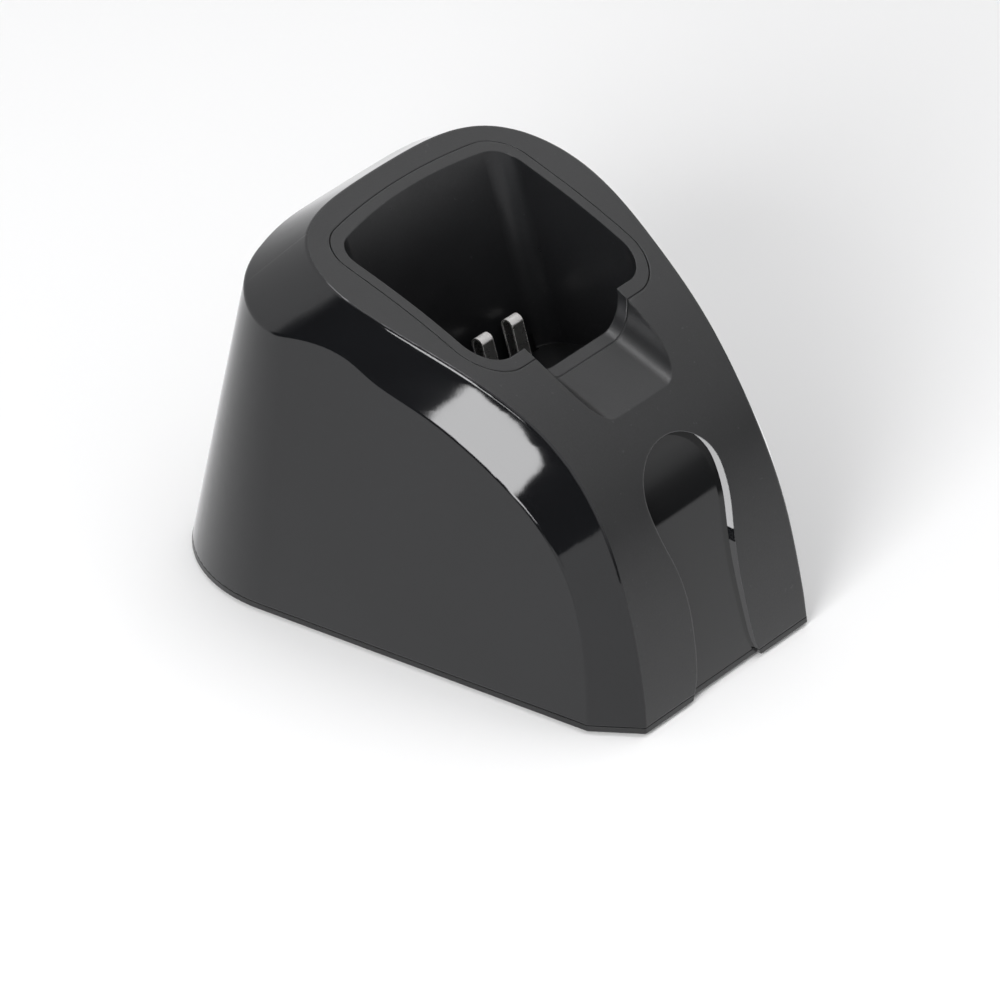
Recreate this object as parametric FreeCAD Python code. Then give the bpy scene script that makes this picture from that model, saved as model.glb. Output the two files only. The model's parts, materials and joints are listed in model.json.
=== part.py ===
import FreeCAD, Part
import math
import os

# Charging stand: a drafted housing with a curved deck, a pocket that leans back, a thumb notch
# and a keyhole recess in front, charging contacts, a base plate on feet and a circuit board.
# Body frame, mm: x = 0 is the mirror plane, y runs from the front edge to the back wall,
# z = 0 is the underside of the base plate.  Pieces are written with the middle of the
# footprint at y = 0 and the underside of the feet at z = 0.

os.makedirs("parts", exist_ok=True)
Vec = FreeCAD.Vector

# ---------------------------------------------------------------- driving dimensions
centre_y = 11.5            # middle of the footprint, becomes y = 0
foot_proud = 1.0           # feet below the base plate, their underside becomes z = 0

# side view of the deck (y, z), from the front edge up and over to the back
deck_profile = [
    (-55.45, -8.0), (-54.95, 2.1), (-53.0, 13.9), (-50.0, 26.05), (-44.0, 41.9),
    (-35.0, 56.5), (-25.0, 66.2), (-15.0, 72.1), (-5.0, 76.45), (5.0, 80.0),
    (15.0, 82.9), (28.0, 85.95), (45.0, 89.75), (66.0, 94.4)]
# plan of the deck edge (half width, y)
deck_edge = [
    (27.75, -55.45), (27.54, -54.95), (26.95, -52.0), (26.6, -48.0), (26.5, -44.0),
    (26.65, -39.5), (27.2, -34.6), (28.5, -27.5), (30.25, -20.0), (32.75, -10.0),
    (35.0, 0.0), (36.75, 9.5), (37.55, 18.0), (37.3, 26.6), (35.25, 33.8),
    (30.8, 40.2), (24.4, 43.7), (16.6, 45.3), (8.3, 45.95), (0.0, 46.15)]
# where the bevel runs out on the side wall (y, z)
bevel_side = [
    (-45.1, -7.0), (-44.8, 0.8), (-43.9, 11.2), (-42.6, 19.6), (-40.9, 27.7),
    (-38.2, 35.6), (-33.9, 42.8), (-25.3, 52.2), (-15.6, 59.1), (-2.8, 65.7),
    (9.9, 69.8), (16.3, 70.9), (22.6, 71.9), (29.7, 72.5), (35.4, 72.85)]
# and round the rear corner to the back (degrees about x = 0, y = bevel_rear_y; z)
bevel_rear = [
    (33.8, 72.8), (37.0, 73.3), (39.8, 75.0), (42.4, 77.3), (45.6, 79.4), (50.0, 80.4),
    (56.5, 80.9), (64.0, 81.1), (72.0, 81.0), (81.0, 80.9), (90.0, 80.9)]
bevel_rear_y = 10.0
bevel_overrun = 5.0        # bevel cutter past both edges of the bevel
bevel_cut_h = 16.0         # and above it
bevel_step = 5.0           # station spacing along the deck edge

# walls; names with _100 hold at z = 100, their partners at z = 0
side_x, side_y = 35.2, -45.0         # point the side wall passes through at z = 0
side_flare, side_flare_100 = 8.77, 11.5    # deg, walls widen towards the back
side_draft = 4.0                     # deg
back_y, back_y_100 = 78.14, 52.38    # back wall
back_r, back_r_100 = 220.0, 150.0    # bow of the back wall
corner_r, corner_r_100 = 32.2, 14.1  # rear corner radius
front_y = -75.0                      # wall prism ends here, ahead of the deck
body_z0, body_z1 = -9.0, 100.0
wall = 2.3                           # housing wall
boss_inset = 1.1                     # bosses and ribs end this far inside the outer skin
deck_edge_r, wall_edge_r = 0.7, 1.1  # rounding of the two bevel edges

# pocket, drawn in (x, v, w): v = across, w = along the pocket axis
lean = 17.5                # deg
pocket_hw = 27.1           # half width of the mouth
pocket_v0, pocket_v1 = -31.94, 6.15
pocket_bow = 3.2           # back wall of the pocket bows out by this much
pocket_rf, pocket_rb = 7.0, 6.0      # front and rear corner radii
pocket_draft = 1.2         # deg
pocket_mouth_w = 88.0      # where the sizes above hold
pocket_top_w = 112.0       # above the deck
floor_w = 46.5             # pocket floor
cup_wall = 2.5
rim_gap = 0.2              # joint line between the cup rim and the deck
notch_gap = 0.05           # the same line where it crosses the thumb notch

# thumb notch
notch_floor_y, notch_floor_z, notch_slope = -12.3, 67.1, 0.292
notch_flat, notch_r = 8.2, 7.2       # half width of the flat, corner radius
notch_flare = 0.03                   # widening of the sides per unit of height

# keyhole recess, front view (half width, z)
key_edge = [
    (0.0, 55.3), (3.0, 55.0), (5.6, 54.2), (7.9, 52.9), (9.9, 51.1), (11.3, 48.9),
    (12.1, 46.3), (12.2, 43.5), (11.9, 40.3), (11.2, 36.8), (10.2, 33.2), (9.3, 29.3),
    (8.75, 25.5), (8.5, 20.5), (8.7, 14.5), (9.2, 8.5), (10.0, 4.0), (11.4, 0.5), (12.6, -2.5)]
key_depth_low, key_depth_high = 1.2, 2.0
key_depth_high_z = 45.0
window_t = 1.1
key_skin_t = 1.4           # housing skin behind the recess
key_skin_rim = 2.0         # that skin reaches this far past the keyhole outline

# status light: axis starts on the deck and is square to the deck tangent there
led_origin = Vec(0, -42.4, 45.0)
led_tangent = Vec(0, 0.473, 0.881)
led_r, led_lead_x = 1.5, 1.27

# charging contacts
contact_x = (6.0, 16.0)
contact_v, contact_top_w = 4.5, 57.4
contact_width, contact_t = 3.6, 0.4
contact_half = 1.45        # from the middle of the loop to mid thickness of a leg
well_hw, well_hv = contact_width / 2 + 0.3, 2.2    # half sizes of a contact well
carrier_screw_xv = [(-3.5, 4.0), (25.0, 4.0)]
carrier_boss_w = 40.0      # lower end of the carrier screw bosses
carrier_flange_w = 37.8    # underside of the carrier flange
carrier_gap = 0.05

# base, screws and feet
lip_t, joint_gap = 1.3, 0.2
split_z = lip_t + joint_gap          # lower edge of the housing
base_floor_z = 2.6
housing_screw_xy = [(24.0, -42.0), (38.0, 54.0)]
housing_seat_z = 2.8       # under the screw heads
housing_boss_z = 4.6       # base pads meet the housing bosses
cup_screw_front = (20.0, -25.0, 50.0)
cup_screw_rear = (20.0, 38.0, 68.0)
cup_screws = (cup_screw_front, cup_screw_rear)
ear_t = 2.5                # cup ears, between the screw heads and the bosses
foot_xy = [(24.5, -27.0), (36.0, 36.0)]
foot_r, foot_recess, foot_round = 5.0, 0.8, 0.5

# circuit board
board_hw, board_y0, board_y1 = 21.0, 22.0, 68.5
board_z, board_t, board_corner_r = 8.0, 1.6, 1.5
board_top = board_z + board_t
lift = board_top + 0.02    # underside of the parts on the board
board_screw_xy = [(17.5, 26.0), (17.5, 61.5)]
jack_hw, jack_l, jack_h = 4.5, 14.0, 11.0
jack_face_y = 72.5


# ---------------------------------------------------------------- helpers
def spline(points):
    curve = Part.BSplineCurve()
    curve.interpolate([Vec(*p) for p in points])
    return curve


def parameters(curve, count):
    a, b = curve.FirstParameter, curve.LastParameter
    return [a + (b - a) * i / (count - 1) for i in range(count)]


def sample(curve, count):
    return [curve.value(u) for u in parameters(curve, count)]


def ends(curve):
    return curve.value(curve.FirstParameter), curve.value(curve.LastParameter)


def mix(a, b, k):
    return a + (b - a) * k


def bisect(low, high, holds, rounds):
    """last value between low and high for which holds(value) is true"""
    for _ in range(rounds):
        middle = 0.5 * (low + high)
        if holds(middle):
            low = middle
        else:
            high = middle
    return low


def path(start, *steps):
    """edges from start: a vector is the end of a line, a pair (middle, end) is an arc"""
    edges = []
    for step in steps:
        if isinstance(step, tuple):
            middle, end = step
            edges.append(Part.Arc(start, middle, end).toShape())
        else:
            end = step
            edges.append(Part.LineSegment(start, end).toShape())
        start = end
    return edges


def box(x0, x1, y0, y1, z0, z1):
    return Part.makeBox(x1 - x0, y1 - y0, z1 - z0, Vec(x0, y0, z0))


def mid_box(half_x, y0, y1, z0, z1):
    return box(-half_x, half_x, y0, y1, z0, z1)


def slab(z0, z1):
    """wider than the whole body"""
    return mid_box(90, -90, 110, z0, z1)


def cyl(r, x, y, z0, z1):
    return Part.makeCylinder(r, z1 - z0, Vec(x, y, z0))


def mirrored(shape):
    return shape.mirror(Vec(0, 0, 0), Vec(1, 0, 0))


def both(shape):
    return [shape, mirrored(shape)]


def posts(places, r, z0, z1):
    """upright cylinders at the (x, y) places and their mirror images"""
    return [post for x, y in places for post in both(cyl(r, x, y, z0, z1))]


def cup_screw_posts(r, below, above):
    """upright cylinders on the cup screws, from below to above the head seat"""
    return [post for x, y, z in cup_screws for post in both(cyl(r, x, y, z - below, z + above))]


def joined(shapes):
    return shapes[0].multiFuse(shapes[1:])


def bottom_rim(shape, z):
    return [e for e in shape.Edges
            if abs(e.BoundBox.ZMax - z) < 1e-6 and e.Closed and e.Length > 1.0][:1]


def top_edges(shape):
    return [e for e in shape.Edges if e.BoundBox.ZMin > shape.BoundBox.ZMax - 0.1]


def upright_edges(shape, height):
    return [e for e in shape.Edges if abs(e.BoundBox.ZLength - height) < 1e-6]


def write(name, shape):
    """export in the output frame, without a compound around a single solid"""
    solids = shape.copy().Solids
    shape = solids[0] if len(solids) == 1 else Part.makeCompound(solids)
    shape.translate(Vec(0, -centre_y, foot_proud))
    shape.exportStep("parts/" + name + ".step")


lean_sin, lean_cos = math.sin(math.radians(lean)), math.cos(math.radians(lean))
lean_matrix = FreeCAD.Matrix(1, 0, 0, 0,
                             0, lean_cos, lean_sin, 0,
                             0, -lean_sin, lean_cos, 0,
                             0, 0, 0, 1)


def to_body(shape):
    """shape drawn in pocket coordinates (x, v, w), placed in the body"""
    leaned = shape.copy()
    leaned.transformShape(lean_matrix)
    return leaned


def point_to_body(x, v, w):
    return Vec(x, v * lean_cos + w * lean_sin, -v * lean_sin + w * lean_cos)


# ---------------------------------------------------------------- drafted walls
def at(p, z, side=1):
    return Vec(side * p[0], p[1], z)


class Outline:
    """x > 0 half of the wall outline at height z, moved in by inset"""

    def __init__(self, z, inset=0.0):
        k = z / 100.0
        flare = math.radians(mix(side_flare, side_flare_100, k))
        self.z = z
        self.normal = nx, ny = math.cos(flare), -math.sin(flare)
        self.along = tx, ty = math.sin(flare), math.cos(flare)
        # distance of the side wall from the origin, along its normal
        self.reach = (nx * side_x + ny * side_y
                      - z * math.tan(math.radians(side_draft)) - inset)
        self.back_y = mix(back_y, back_y_100, k) - inset
        self.back_r = mix(back_r, back_r_100, k) - inset
        self.corner_r = r = mix(corner_r, corner_r_100, k) - inset
        self.back_cy = self.back_y - self.back_r
        # corner arc centre: r inside the side wall and tangent inside the back arc
        px, py = (self.reach - r) * nx, (self.reach - r) * ny - self.back_cy
        b = px * tx + py * ty
        c = px * px + py * py - (self.back_r - r) ** 2
        s = -b + math.sqrt(b * b - c)
        self.cx, self.cy = (self.reach - r) * nx + s * tx, (self.reach - r) * ny + s * ty
        self.side_angle = math.atan2(ny, nx)
        self.back_angle = math.atan2(self.cy - self.back_cy, self.cx)
        front = (front_y - self.reach * ny) / ty
        self.front_end = (self.reach * nx + front * tx, front_y)
        self.side_end = (self.cx + r * nx, self.cy + r * ny)
        self.back_end = (self.back_r * math.cos(self.back_angle),
                         self.back_cy + self.back_r * math.sin(self.back_angle))

    def rear_steps(self, z):
        """path steps from one side wall round the back to the other"""
        angle = 0.5 * (self.side_angle + self.back_angle)
        middle = (self.cx + self.corner_r * math.cos(angle),
                  self.cy + self.corner_r * math.sin(angle))
        return [(at(middle, z), at(self.back_end, z)),
                (Vec(0, self.back_y, z), at(self.back_end, z, -1)),
                (at(middle, z, -1), at(self.side_end, z, -1))]

    def wire(self):
        z = self.z
        return Part.Wire(path(at(self.front_end, z, -1), at(self.front_end, z),
                              at(self.side_end, z), *self.rear_steps(z),
                              at(self.front_end, z, -1)))

    def wall_point(self, y):
        """point on the side wall or rear corner at y"""
        if y <= self.side_end[1]:
            s = (y - self.reach * self.normal[1]) / self.along[1]
            return Vec(self.reach * self.normal[0] + s * self.along[0], y, self.z)
        dy = y - self.cy
        return Vec(self.cx + math.sqrt(max(self.corner_r ** 2 - dy * dy, 0)), y, self.z)

    def contains(self, x, y):
        if x * self.normal[0] + y * self.normal[1] > self.reach:
            return False
        if y > self.cy and math.hypot(x, y - self.back_cy) > self.back_r:
            return False
        angle = math.atan2(y - self.cy, x - self.cx)
        return not (self.side_angle <= angle <= self.back_angle
                    and math.hypot(x - self.cx, y - self.cy) > self.corner_r)


def wall_solid(inset, z0=body_z0, z1=body_z1):
    return Part.makeLoft([Outline(z0, inset).wire(), Outline(z1, inset).wire()], True, True)


# ---------------------------------------------------------------- deck surface
deck_curve = spline([(0, y, z) for y, z in deck_profile])
deck_table = [(p.y, p.z) for p in sample(deck_curve, 1200)]


def deck_z(y):
    low, high = 0, len(deck_table) - 1
    while high - low > 1:
        middle = (low + high) // 2
        if deck_table[middle][0] <= y:
            low = middle
        else:
            high = middle
    (y0, z0), (y1, z1) = deck_table[low], deck_table[high]
    return z0 + (z1 - z0) * (y - y0) / (y1 - y0)


def offset_deck_curve(depth):
    points = []
    for u in parameters(deck_curve, 60):
        p = deck_curve.value(u)
        t = deck_curve.tangent(u)[0]
        d = depth(p.z) if callable(depth) else depth
        points.append((0, p.y + t.z * d, p.z - t.y * d))
    return spline(points)


def under_deck(depth=0.0):
    """all below the deck surface sunk by depth, a number or a function of z"""
    half_x, far_y, low_z = 75.0, 120.0, -32.0
    curve = offset_deck_curve(depth) if depth else deck_curve
    a, b = ends(curve)
    closing = path(Vec(0, b.y, b.z), Vec(0, far_y, b.z), Vec(0, far_y, low_z),
                   Vec(0, a.y, low_z), Vec(0, a.y, a.z))
    face = Part.Face(Part.Wire([curve.toShape()] + closing))
    face.translate(Vec(-half_x, 0, 0))
    return face.extrude(Vec(2 * half_x, 0, 0))


# ---------------------------------------------------------------- bevel from deck to walls
def bevel_runout():
    """points where the bevel meets the walls, from the front to the middle of the back"""
    side = sample(spline([(0, y, z) for y, z in bevel_side]), 160)
    points = [Outline(p.z).wall_point(p.y) for p in side]
    rear = spline([(0, degrees, z) for degrees, z in bevel_rear])
    start = math.atan2(points[-1].y - bevel_rear_y, points[-1].x)
    count = 160
    for i in range(1, count + 1):
        angle = start + (math.pi / 2 - start) * i / count
        ca, sa = math.cos(angle), math.sin(angle)
        u = bisect(rear.FirstParameter, rear.LastParameter,
                   lambda m: rear.value(m).y < math.degrees(angle), 40)
        z = rear.value(u).z
        outline = Outline(z)
        reach = bisect(0.0, 90.0,
                       lambda m: outline.contains(m * ca, bevel_rear_y + m * sa), 50)
        points.append(Vec(reach * ca, bevel_rear_y + reach * sa, z))
    points[-1].x = 0.0
    return points


def bevel_stations():
    """evenly spaced deck edge points and the runout points square to the edge there"""
    runout = bevel_runout()
    plan = sample(spline([(x, y, 0) for x, y in deck_edge]), 400)
    edge = [Vec(p.x, p.y, deck_z(p.y)) for p in plan]
    edge[-1].x = 0.0
    lengths = [0.0]
    for a, b in zip(edge[:-1], edge[1:]):
        lengths.append(lengths[-1] + (b - a).Length)
    count = int(round(lengths[-1] / bevel_step))
    deck_points, wall_points = [], []
    j = 0
    reached = 0
    for i in range(count + 1):
        s = lengths[-1] * i / count
        while j < len(lengths) - 2 and lengths[j + 1] < s:
            j += 1
        k = (s - lengths[j]) / (lengths[j + 1] - lengths[j])
        deck_point = mix(edge[j], edge[j + 1], k)
        deck_points.append(deck_point)
        if i == count:
            wall_points.append(runout[-1])
            break
        t = edge[min(j + 5, len(edge) - 1)] - edge[max(j - 4, 0)]
        t.normalize()
        ahead = [(p - deck_point).dot(t) for p in runout]
        wall_point = runout[reached]
        for q in range(reached, len(runout) - 1):
            if ahead[q] <= 0 < ahead[q + 1]:
                k = -ahead[q] / (ahead[q + 1] - ahead[q])
                wall_point = mix(runout[q], runout[q + 1], k)
                reached = q
                break
        wall_points.append(wall_point)
    return deck_points, wall_points


def neighbours(points, i):
    """points before and after i in a run that is mirrored past its last point"""
    before = points[max(i - 1, 0)]
    if i + 1 < len(points):
        return before, points[i + 1]
    return before, Vec(-before.x, before.y, before.z)


def fair(points, rounds=14):
    """even out a mirrored run of points without shrinking it"""
    points = [Vec(p) for p in points]
    for _ in range(rounds):
        for pull in (0.5, -0.52):
            moved = [Vec(p) for p in points]
            for i in range(1, len(points)):
                a, b = neighbours(points, i)
                moved[i] = points[i] + ((a + b) * 0.5 - points[i]) * pull
            points = moved
    return points


def fair_stations():
    """(deck point, wall point, direction along the deck edge)"""
    deck_points, wall_points = [fair(run) for run in bevel_stations()]
    deck_points = [Vec(p.x, p.y, deck_z(p.y)) for p in deck_points]
    stations = []
    for i, (deck_point, wall_point) in enumerate(zip(deck_points, wall_points)):
        a, b = neighbours(deck_points, i)
        t = b - a
        t.normalize()
        stations.append((deck_point, wall_point, t))
    return stations


STATIONS = fair_stations()


def bevel_cutter(inset):
    """band of four-cornered sections standing on the bevel"""
    rows = []
    for deck_point, wall_point, t in STATIONS:
        across = wall_point - deck_point
        across.normalize()
        normal = across.cross(t)
        normal.normalize()
        if normal.z < 0:
            normal = normal * -1
        upper = deck_point - across * bevel_overrun - normal * inset
        lower = wall_point + across * bevel_overrun - normal * inset
        rise = normal * bevel_cut_h
        rows.append((upper, lower, lower + rise, upper + rise))
    rows += [tuple(Vec(-q.x, q.y, q.z) for q in row) for row in reversed(rows[:-1])]
    curves = [spline([row[k] for row in rows]).toShape() for k in range(4)]
    faces = []
    for k in range(4):
        faces += Part.makeRuledSurface(curves[k], curves[(k + 1) % 4]).Faces
    for end in (0, -1):
        faces.append(Part.Face(Part.makePolygon(list(rows[end]) + [rows[end][0]])))
    shell = Part.makeShell(faces)
    shell.sewShape()
    solid = Part.makeSolid(shell)
    if solid.Volume < 0:
        solid.reverse()
    return solid


def body(inset):
    return wall_solid(inset).common(under_deck(inset)).cut(bevel_cutter(inset))


def base_prism(inset, z0, z1):
    """slab on the footprint moved in by inset, following the lean of the walls"""
    outline = Outline(0.0, inset)
    y_front = -54.55 + inset
    # line across the front corner, through two points
    (ax, ay), (bx, by) = (27.3, -54.65), (34.95, -44.6)
    length = math.hypot(bx - ax, by - ay)
    nx, ny = (by - ay) / length, -(bx - ax) / length
    reach = nx * ax + ny * ay - inset
    front = ((reach - ny * y_front) / nx, y_front)
    # where that line meets the side wall
    side_nx, side_ny = outline.normal
    det = nx * side_ny - ny * side_nx
    side = ((reach * side_ny - ny * outline.reach) / det,
            (nx * outline.reach - reach * side_nx) / det)
    edges = path(at(front, z0, -1), at(front, z0), at(side, z0), at(outline.side_end, z0),
                 *outline.rear_steps(z0), at(side, z0, -1), at(front, z0, -1))
    prism = Part.Face(Part.Wire(edges)).extrude(Vec(0, 0, z1 - z0))
    return prism.common(wall_solid(inset))


# ---------------------------------------------------------------- pocket, notch, keyhole
def pocket_wire(offset, w):
    grow = offset + (w - pocket_mouth_w) * math.tan(math.radians(pocket_draft))
    hw = pocket_hw + grow
    v0, v1 = pocket_v0 - grow, pocket_v1 + grow
    rf, rb = pocket_rf + offset, pocket_rb + offset
    bow_r = (hw * hw + pocket_bow * pocket_bow) / (2 * pocket_bow)
    bow_v = v1 + pocket_bow - bow_r
    # rear corner arc tangent to the side x = hw and inside the bowed back
    cx = hw - rb
    cv = bow_v + math.sqrt((bow_r - rb) ** 2 - cx * cx)
    angle = math.atan2(cv - bow_v, cx)
    bow_end = (bow_r * math.cos(angle), bow_v + bow_r * math.sin(angle))
    middle = (cx + rb * math.cos(0.5 * angle), cv + rb * math.sin(0.5 * angle))
    side_end = (hw, cv)
    q = math.sqrt(0.5)
    front_x = hw - rf
    front_mid = (front_x + rf * q, v0 + rf - rf * q)
    return Part.Wire(path(
        Vec(-front_x, v0, w), Vec(front_x, v0, w),
        (at(front_mid, w), Vec(hw, v0 + rf, w)),
        at(side_end, w),
        (at(middle, w), at(bow_end, w)),
        (Vec(0, v1 + pocket_bow, w), at(bow_end, w, -1)),
        (at(middle, w, -1), at(side_end, w, -1)),
        Vec(-hw, v0 + rf, w),
        (at(front_mid, w, -1), Vec(-front_x, v0, w))))


def pocket_prism(offset, w0):
    """pocket shape grown by offset, tapering towards the floor"""
    wires = [pocket_wire(offset, w0), pocket_wire(offset, pocket_top_w)]
    return to_body(Part.makeLoft(wires, True, True))


def notch_prism(grow=0.0, top=26.0, y_start=0.0, length=42.0):
    """rounded channel running forward and down from y_start"""
    scale = math.hypot(1.0, notch_slope)
    back = Vec(0, 1 / scale, notch_slope / scale)
    up = Vec(0, -notch_slope / scale, 1 / scale)
    floor_z = notch_floor_z + notch_slope * (y_start - notch_floor_y)
    origin = Vec(0, y_start, floor_z) - up * grow
    flat, r = notch_flat, notch_r + grow
    q = math.sqrt(0.5)
    top_x = flat + r + notch_flare * (top - r)

    def place(x, height):
        return origin + Vec(x, 0, 0) + up * height

    edges = path(place(-flat, 0), place(flat, 0),
                 (place(flat + r * q, r - r * q), place(flat + r, r)),
                 place(top_x, top), place(-top_x, top), place(-flat - r, r),
                 (place(-flat - r * q, r - r * q), place(-flat, 0)))
    return Part.Face(Part.Wire(edges)).extrude(back * -length)


def key_prism(grow=0.0):
    """keyhole outline grown along its normal and run through the front wall"""
    y0, y1 = -80.0, -20.0
    points = key_edge
    if grow:
        curve = spline([(x, 0, z) for x, z in key_edge])
        points = []
        for u in parameters(curve, 41):
            p = curve.value(u)
            t = curve.tangent(u)[0]
            points.append((p.x - t.z * grow, p.z + t.x * grow))
        points[0] = (0.0, points[0][1])
    curve = spline([(-x, y0, z) for x, z in reversed(points)]
                   + [(x, y0, z) for x, z in points[1:]])
    a, b = ends(curve)
    low_z = min(key_edge[-1][1], a.z) - 1.0
    closing = path(b, Vec(b.x, y0, low_z), Vec(a.x, y0, low_z), a)
    return Part.Face(Part.Wire([curve.toShape()] + closing)).extrude(Vec(0, y1 - y0, 0))


def under_key(extra=0.0):
    """all behind the recess floor sunk by extra"""
    def depth(z):
        k = min(max(z / key_depth_high_z, 0.0), 1.0)
        return mix(key_depth_low, key_depth_high, k) + extra
    return under_deck(depth)


# ---------------------------------------------------------------- status light axis
led_tangent.normalize()
led_out = Vec(0, -led_tangent.z, led_tangent.y)
led_in = led_out * -1


def on_led_axis(depth, dx=0.0):
    return led_origin - led_out * depth + Vec(dx, 0, 0)


def led_cyl(r, length, depth, dx=0.0):
    return Part.makeCylinder(r, length, on_led_axis(depth, dx), led_in)


# ---------------------------------------------------------------- housing
def shared_edges(face, other, least):
    return [e for e in face.Edges if e.Length > least and any(e.isSame(x) for x in other.Edges)]


def find_deck(shape):
    swept = [f for f in shape.Faces if 'Extrusion' in f.Surface.__class__.__name__]
    return max(swept, key=lambda f: f.Area)


def make_outer():
    """solid outer form with both bevel edges rounded"""
    outer = body(0.0)
    deck = find_deck(outer)
    others = [f for f in outer.Faces if not f.isSame(deck)]
    bevel = [f for f in others if shared_edges(deck, f, 150.0)][0]
    wall_edges = [e for f in others if not f.isSame(bevel)
                  for e in shared_edges(bevel, f, 2.0) if e.BoundBox.ZMax > -5.0]
    outer = outer.makeFillet(wall_edge_r, wall_edges)
    deck_edges = [e for e in find_deck(outer).Edges if e.Length > 200]
    return outer.makeFillet(deck_edge_r, deck_edges)


def housing_bosses(limit):
    """screw bosses, the base ones each with a rib to the wall"""
    bosses = []
    for (x, y), angle in zip(housing_screw_xy, (-37.0, 28.0)):
        rib = box(0, 16, -0.8, 0.8, 6.0, 18.0)
        rib.rotate(Vec(0, 0, 0), Vec(0, 0, 1), angle)
        rib.translate(Vec(x, y, 0))
        bosses += both(cyl(3.7, x, y, housing_boss_z, 20.0).fuse(rib))
    for x, y, z in cup_screws:
        bosses += both(cyl(3.4, x, y, z + ear_t, 99.0))
    return joined(bosses).common(limit)


def side_ribs(limit):
    """upright ribs, kept only next to the side walls"""
    half_t, z0, z1 = 0.7, 8.0, 60.0
    inner_x = Outline(30.0).reach - 8.0
    ribs = []
    for y in (-18.0, 6.0, 30.0):
        ribs += both(box(inner_x, 60.0, y - half_t, y + half_t, z0, z1))
    return joined(ribs).cut(wall_solid(5.2, 5.0, 99.0)).common(limit)


def make_housing(outer):
    skin_depth = 1.0           # added inner shapes start this far below the deck
    jack_gap = 0.35
    limit = body(boss_inset)
    housing = outer.cut(body(wall))
    housing = housing.cut(slab(-20, split_z))

    # skin behind the keyhole recess
    skin = key_prism(key_skin_rim).common(under_deck(skin_depth))
    skin = skin.cut(under_key(window_t + key_skin_t))
    skin = skin.cut(slab(-20, split_z))
    housing = housing.fuse(skin.common(mid_box(14.5, -70, -28, -5, 60)))
    # tube round the status light
    housing = housing.fuse(led_cyl(3.4, 5.4, 2.2))
    # trough under the thumb notch
    trough = notch_prism(2.2, top=14.0, y_start=-4.0, length=30.0)
    housing = housing.fuse(trough.common(under_deck(skin_depth)))
    housing = housing.fuse(housing_bosses(limit)).fuse(side_ribs(limit))

    # cup opening with a narrower gap at the notch, then notch and recess
    opening = pocket_prism(cup_wall + rim_gap, 30.0)
    opening = opening.cut(mid_box(15.3, -26.0, -4.0, 55.0, 74.0))
    housing = housing.cut(opening)
    housing = housing.cut(pocket_prism(cup_wall + notch_gap, 30.0))
    housing = housing.cut(notch_prism())
    housing = housing.cut(key_prism().cut(under_key(window_t)))

    # holes for the light, the screws and the jack
    holes = [led_cyl(1.6, 9.0, 0.5)]
    holes += posts(housing_screw_xy, 1.5, 4.0, 17.5)
    holes += cup_screw_posts(1.3, -2.0, 11.5)
    holes.append(mid_box(jack_hw + jack_gap, 60.0, 90.0,
                         board_top - jack_gap, board_top + jack_h + jack_gap))
    return housing.cut(joined(holes))


# ---------------------------------------------------------------- pocket cup
def make_cup():
    ear_hw, ear_end = 4.0, 4.2           # half width, and reach past the screw
    cup = pocket_prism(cup_wall, floor_w - cup_wall).common(under_deck())
    x, y, z = cup_screw_front
    ears = both(box(x - ear_hw, x + ear_hw, y - ear_end, -18.6, z, z + ear_t))
    x, y, z = cup_screw_rear
    ears += both(box(x - ear_hw, x + ear_hw, 30.5, y + ear_end, z, z + ear_t))
    # bosses for the carrier screws, under the floor
    for x, v in carrier_screw_xv:
        ears.append(to_body(cyl(3.0, x, v, carrier_boss_w, 45.0)))
    cup = cup.fuse(joined(ears))
    cup = cup.cut(pocket_prism(0.0, floor_w))
    cup = cup.cut(notch_prism())

    w0, w1 = 40.0, 50.0                  # through the floor
    cuts = [to_body(box(x - well_hw, x + well_hw, contact_v - well_hv, contact_v + well_hv,
                        w0, w1)) for x in contact_x]
    cuts.append(to_body(box(19.4, 22.4, 4.8, 6.6, w0, w1)))    # open slot beside the contacts
    for x, v in carrier_screw_xv:
        cuts.append(to_body(cyl(1.3, x, v, 39.0, 44.9)))
    cuts += cup_screw_posts(1.6, 1, 4)
    return cup.cut(joined(cuts))


# ---------------------------------------------------------------- keyhole window
def make_window():
    edge_gap, back_gap = 0.08, 0.05
    window = key_prism(-edge_gap).common(under_key()).cut(under_key(window_t - back_gap))
    return window.cut(slab(-20, split_z))


# ---------------------------------------------------------------- base plate and feet
def make_base(outer, housing):
    inset = wall + 0.35                  # clear of the housing wall
    ring_t, ring_z = 1.5, 5.2
    base = outer.common(slab(0.0, lip_t))
    base = base.fuse(base_prism(inset, lip_t - 0.5, base_floor_z))
    ring = base_prism(inset, base_floor_z - 0.5, ring_z)
    ring = ring.cut(base_prism(inset + ring_t, base_floor_z - 1.0, 6.0))
    ring = ring.cut(mid_box(12.5, -60, -48, 0, 9))     # clear of the keyhole skin
    ring = ring.cut(mid_box(8.0, 60, 80, 0, 9))        # clear of the jack
    base = base.fuse(ring)
    pads = posts(housing_screw_xy, 5.0, 1.0, housing_boss_z)
    pads += posts(board_screw_xy, 3.0, 1.0, board_z)
    base = base.fuse(joined(pads))

    skin_room = key_prism(key_skin_rim).common(box(-20, 20, -80, -46, lip_t, 9))
    cuts = [key_prism().cut(under_key()),
            skin_room.cut(under_key(window_t + key_skin_t + 0.3))]
    cuts += posts(housing_screw_xy, 3.3, -1, housing_seat_z)
    cuts += posts(housing_screw_xy, 1.7, -1, 6)
    cuts += posts(board_screw_xy, 1.15, 2.0, board_z + 1)
    cuts += posts(foot_xy, foot_r + 0.1, -1, foot_recess)
    base = base.cut(joined(cuts))
    return base.cut(housing)


def make_foot(x, y):
    foot = cyl(foot_r, x, y, -foot_proud, foot_recess)
    return foot.makeFillet(foot_round, bottom_rim(foot, -foot_proud))


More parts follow.
